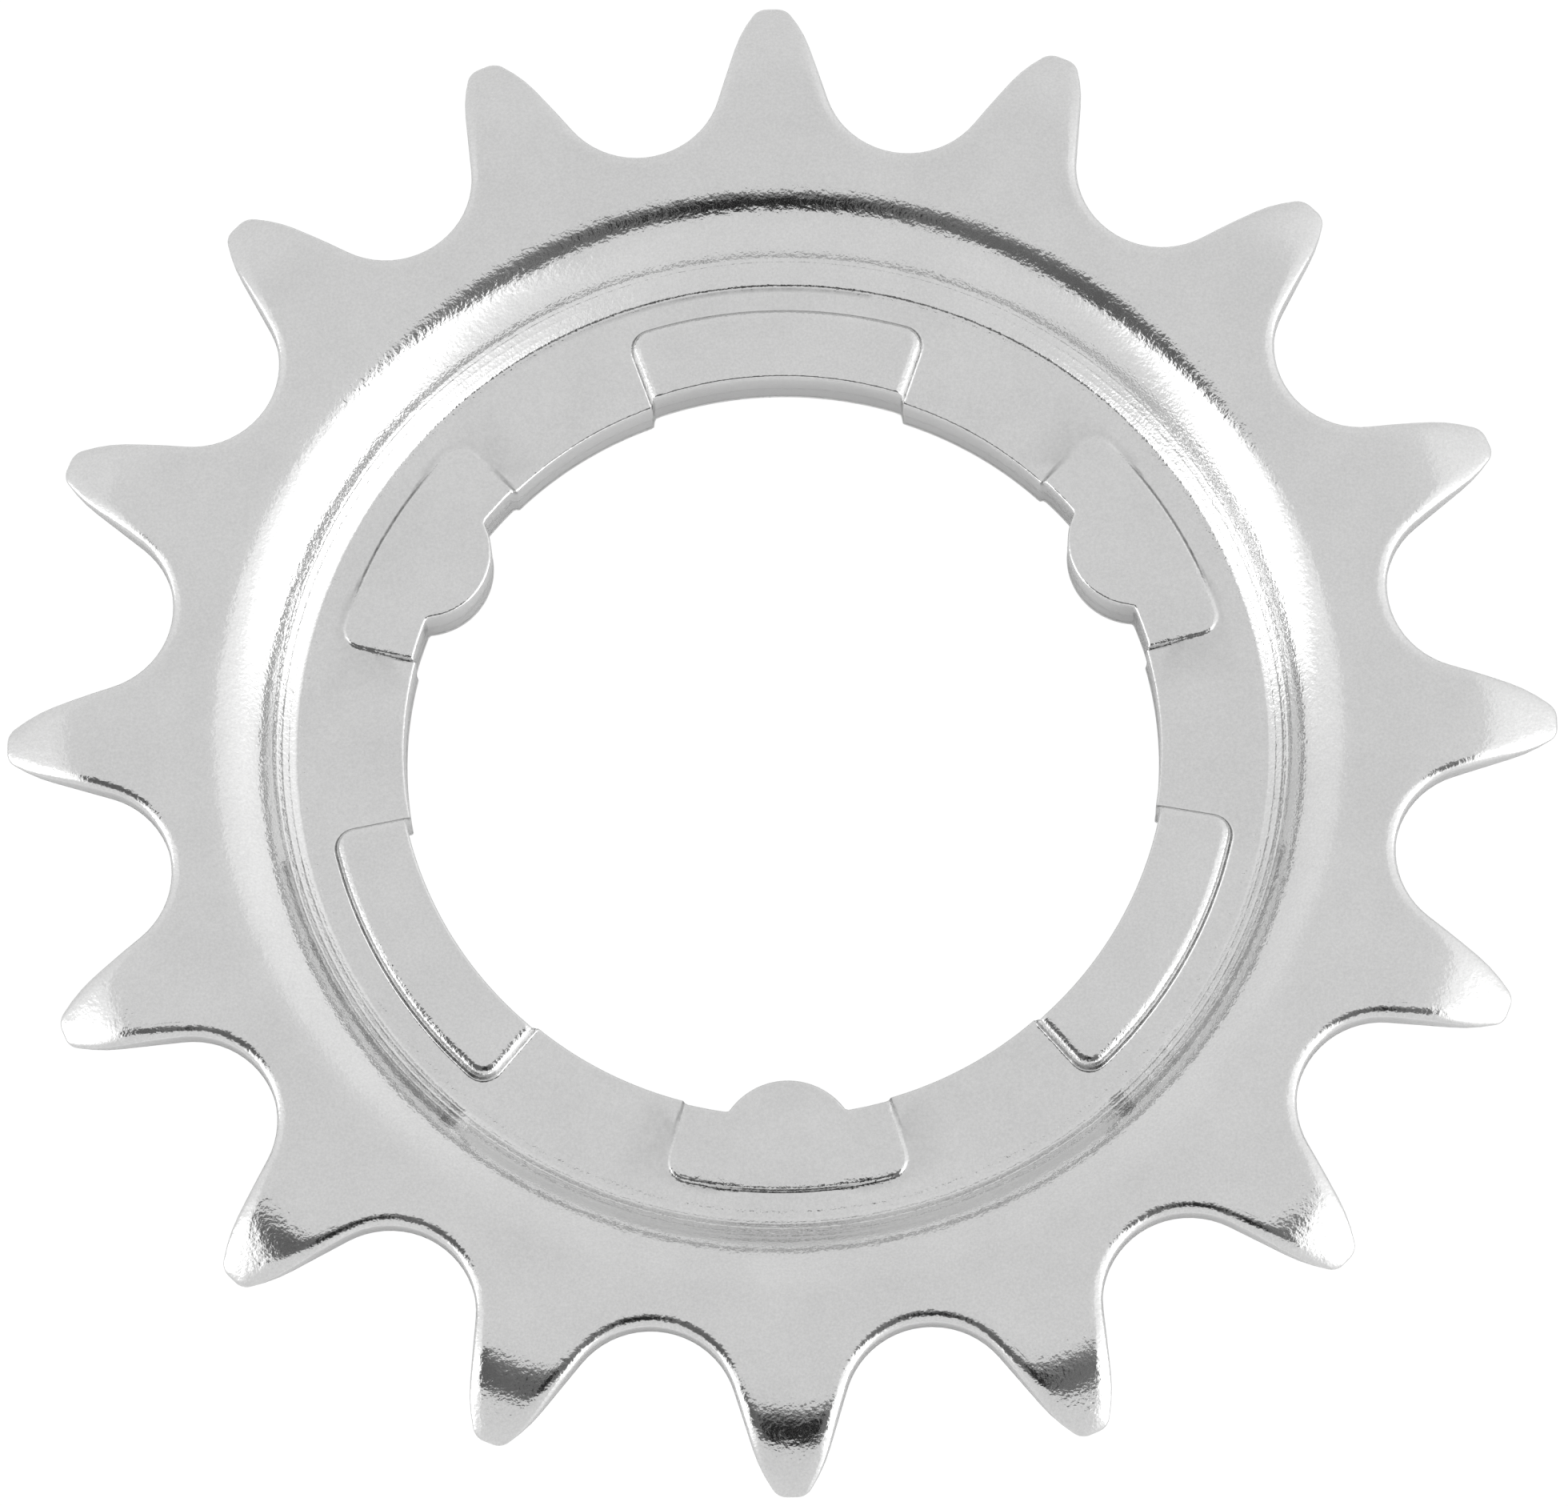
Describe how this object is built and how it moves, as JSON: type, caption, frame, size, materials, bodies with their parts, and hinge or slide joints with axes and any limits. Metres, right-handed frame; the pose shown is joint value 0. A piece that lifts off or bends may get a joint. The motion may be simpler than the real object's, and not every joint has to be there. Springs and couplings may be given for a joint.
{
  "type": "bicycle hub gear sprocket",
  "caption": "Dished steel drive sprocket with round bevelled teeth and a sunk flange whose lobed bore keys onto a hub gear's driver.",
  "frame": {"origin": "centre of the bore at the flange's back face, which is the part's lowest face", "axes": "+Z along the bore's axis, from the flange's back to the toothed plate's front face; +Y through the middle of one tooth and one plain pad"},
  "size_m": [0.0712, 0.0712, 0.0057],
  "materials": {
    "plated_steel": "bright nickel or chrome plate over coined steel, with a fine grain"
  },
  "bodies": {
    "root": {"sprocket": "plated_steel"}
  },
  "joints": []
}
